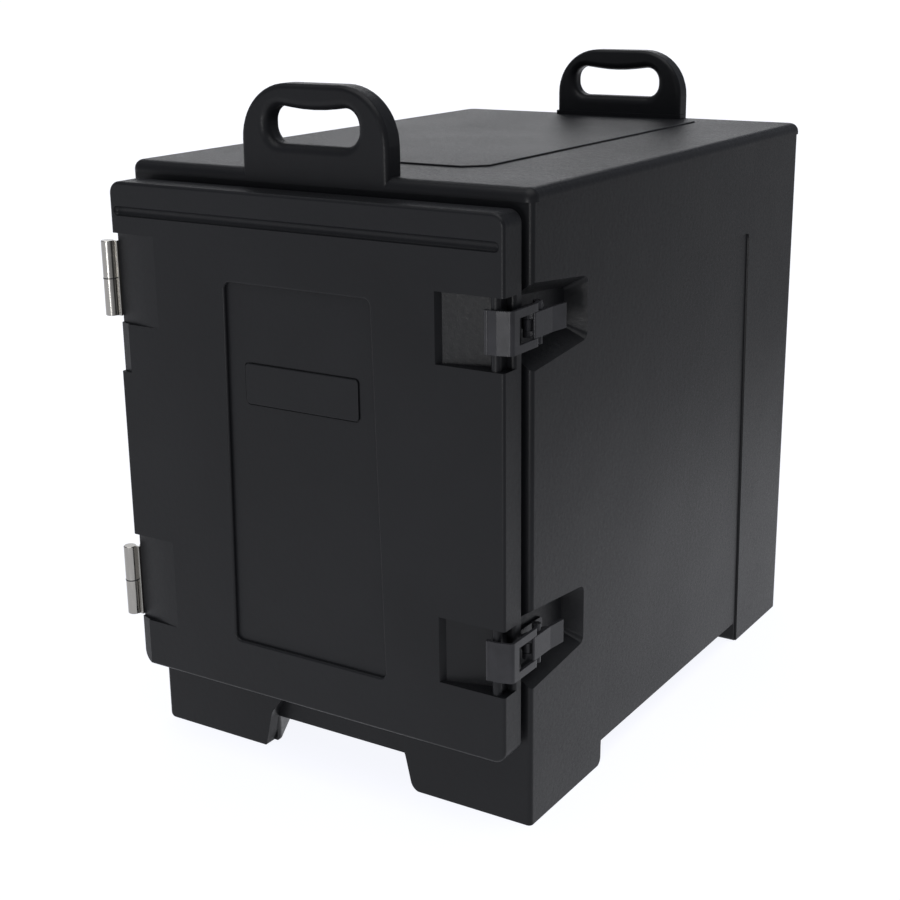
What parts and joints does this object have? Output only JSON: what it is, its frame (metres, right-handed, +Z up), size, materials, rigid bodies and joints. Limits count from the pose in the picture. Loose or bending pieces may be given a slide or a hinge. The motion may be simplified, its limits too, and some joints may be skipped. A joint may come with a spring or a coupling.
{
  "type": "insulated food carrier",
  "caption": "Foam-insulated end-loading pan carrier with a hinged door, two draw latches, moulded carrying handles and four feet.",
  "frame": {"origin": "middle of the whole footprint, on the floor under the feet", "axes": "+Z up, -Y towards the door's front face, +X towards the latch side as seen by someone facing the door"},
  "size_m": [0.4657, 0.6703, 0.674],
  "materials": {
    "moulded_plastic": "satin rotationally moulded polyethylene with a fine orange-peel grain",
    "foam": "rigid closed-cell foam, never seen from outside",
    "seal_rubber": "matt extruded rubber",
    "hinge_steel": "brushed stainless",
    "screw_steel": "plain stainless",
    "latch_plastic": "fine-grained injection-moulded nylon"
  },
  "bodies": {
    "case": {"case_shell": "moulded_plastic", "case_foam": "foam", "case_fill_plugs": "moulded_plastic", "lower_hinge_case_leaf": "hinge_steel", "upper_hinge_case_leaf": "hinge_steel", "lower_hinge_pin": "hinge_steel", "upper_hinge_pin": "hinge_steel", "hinge_washers": "latch_plastic", "hinge_case_screws": "screw_steel", "lower_latch_base": "latch_plastic", "upper_latch_base": "latch_plastic", "lower_latch_pivot_pin": "screw_steel", "upper_latch_pivot_pin": "screw_steel", "latch_screws": "screw_steel"},
    "door": {"door_shell": "moulded_plastic", "door_foam": "foam", "door_fill_plug": "moulded_plastic", "door_seal": "seal_rubber", "lower_hinge_door_leaf": "hinge_steel", "upper_hinge_door_leaf": "hinge_steel", "hinge_door_screws": "screw_steel"},
    "lower_lever": {"lower_latch_lever": "latch_plastic", "lower_latch_link_pin": "screw_steel"},
    "lower_hook": {"lower_latch_hook": "latch_plastic"},
    "upper_lever": {"upper_latch_lever": "latch_plastic", "upper_latch_link_pin": "screw_steel"},
    "upper_hook": {"upper_latch_hook": "latch_plastic"}
  },
  "joints": [
    {"name": "door_hinge", "type": "hinge", "parent": "case", "child": "door", "pos_m": [-0.23, -0.328, 0.326], "axis": [0, 0, -1], "range_deg": [0, 270]},
    {"name": "lower_lever_pivot", "type": "hinge", "parent": "case", "child": "lower_lever", "pos_m": [0.2175, -0.2905, 0.1815], "axis": [0, 0, -1], "range_deg": [0, 120]},
    {"name": "lower_hook_pivot", "type": "hinge", "parent": "lower_lever", "child": "lower_hook", "pos_m": [0.22, -0.278, 0.1815], "axis": [0, 0, 1], "range_deg": [0, 150]},
    {"name": "upper_lever_pivot", "type": "hinge", "parent": "case", "child": "upper_lever", "pos_m": [0.2175, -0.2905, 0.48], "axis": [0, 0, -1], "range_deg": [0, 120]},
    {"name": "upper_hook_pivot", "type": "hinge", "parent": "upper_lever", "child": "upper_hook", "pos_m": [0.22, -0.278, 0.48], "axis": [0, 0, 1], "range_deg": [0, 150]}
  ],
  "couplings": [
    {"joint": "lower_hook_pivot", "follows": "lower_lever_pivot", "ratio": 1.25},
    {"joint": "upper_hook_pivot", "follows": "upper_lever_pivot", "ratio": 1.25}
  ]
}
